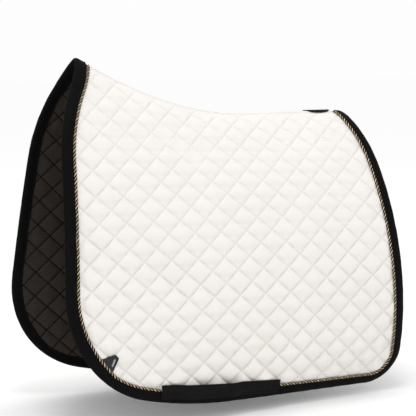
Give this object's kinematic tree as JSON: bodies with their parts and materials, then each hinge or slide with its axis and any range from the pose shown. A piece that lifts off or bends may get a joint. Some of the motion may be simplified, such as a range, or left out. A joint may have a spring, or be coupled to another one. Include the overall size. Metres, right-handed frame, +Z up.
{
  "type": "saddle pad",
  "caption": "Dressage saddle pad: two quilted flaps joined along a contoured spine, with bound and corded edges and a webbing girth keeper low on each flap.",
  "frame": {"origin": "on the centre plane at the lowest height of the spine's underside, below the rider's seat, where the pad rests on the back", "axes": "+X from the withers to the rear, along the spine; +Z up; -Y is the horse's left (near) side"},
  "size_m": [0.6898, 0.34, 0.6262],
  "materials": {
    "quilted_cotton": "satin",
    "foam": "matte",
    "mesh_lining": "matte",
    "binding_tape": "satin",
    "twisted_cord": "satin",
    "webbing": "matte",
    "stitching": "matte",
    "spine_tape": "satin",
    "patch": "matte",
    "tab_rubber": "matte"
  },
  "bodies": {
    "spine": {"spine_tape": "spine_tape", "spine_lining_tape": "mesh_lining", "spine_padding": "foam", "spine_binding_withers": "binding_tape", "spine_binding_rear": "binding_tape", "spine_rear_patch": "patch"},
    "left_flap": {"left_cover": "quilted_cotton", "left_foam_core": "foam", "left_lining": "mesh_lining", "left_edge_binding": "binding_tape", "left_trim_cord": "twisted_cord", "left_girth_keeper": "webbing", "left_girth_keeper_seams": "stitching", "left_corner_tab": "tab_rubber"},
    "right_flap": {"right_cover": "quilted_cotton", "right_foam_core": "foam", "right_lining": "mesh_lining", "right_edge_binding": "binding_tape", "right_trim_cord": "twisted_cord", "right_girth_keeper": "webbing", "right_girth_keeper_seams": "stitching"}
  },
  "joints": [
    {"name": "left_flap_fold", "type": "hinge", "parent": "spine", "child": "left_flap", "pos_m": [0.0175, 0, 0.041], "axis": [0.9837, 0, -0.1797], "range_deg": [-18, 10], "deforming": ["spine_tape", "spine_lining_tape", "spine_binding_withers", "spine_binding_rear", "spine_rear_patch"]},
    {"name": "right_flap_fold", "type": "hinge", "parent": "spine", "child": "right_flap", "pos_m": [0.0175, 0, 0.041], "axis": [-0.9837, 0, 0.1797], "range_deg": [-18, 10], "deforming": ["spine_tape", "spine_lining_tape", "spine_binding_withers", "spine_binding_rear", "spine_rear_patch"]}
  ]
}
